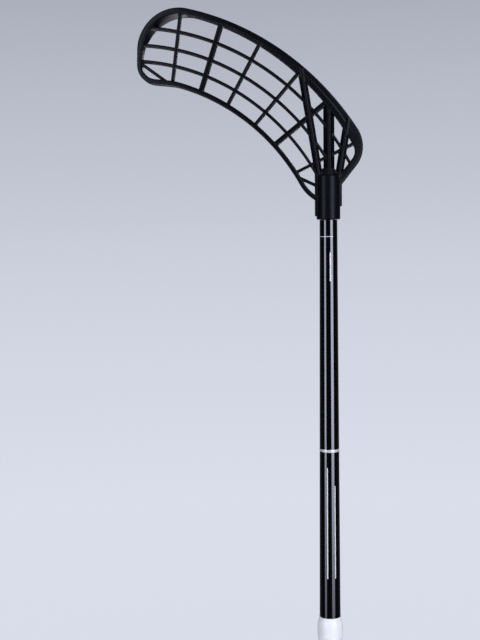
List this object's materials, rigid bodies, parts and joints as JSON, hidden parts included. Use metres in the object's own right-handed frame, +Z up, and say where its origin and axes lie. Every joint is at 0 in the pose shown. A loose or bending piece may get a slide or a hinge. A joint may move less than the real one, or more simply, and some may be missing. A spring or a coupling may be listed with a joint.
{
  "type": "floorball stick",
  "caption": "Straight round-shafted stick with a wound grip and butt plug, and a screwed-on curved blade: an open grid of ribs in a rim, for hitting a light perforated ball.",
  "frame": {"origin": "middle of the flat butt face of the end cap", "axes": "+Z up the shaft's axis to the blade, -X to the toe, +Y to the side that the blade hooks to"},
  "size_m": [0.2546, 0.0534, 1.071],
  "materials": {
    "blade_plastic": "satin moulded",
    "shaft_lacquer": "clear lacquer over black",
    "screw_steel": "zinc plated",
    "grip_strip": "soft foamed polyurethane",
    "band_film": "stretched film",
    "cap_rubber": "matt"
  },
  "bodies": {
    "stick": {"blade": "blade_plastic", "shaft_tube": "shaft_lacquer", "grip_tape": "grip_strip", "finish_band": "band_film"},
    "screw": {"blade_screw": "screw_steel"},
    "cap": {"end_cap": "cap_rubber"}
  },
  "joints": [
    {"name": "screw_out", "type": "slide", "parent": "stick", "child": "screw", "axis": [1, 0, 0], "range_m": [0, 0.02]},
    {"name": "cap_out", "type": "slide", "parent": "stick", "child": "cap", "axis": [0, 0, -1], "range_m": [0, 0.05]}
  ]
}
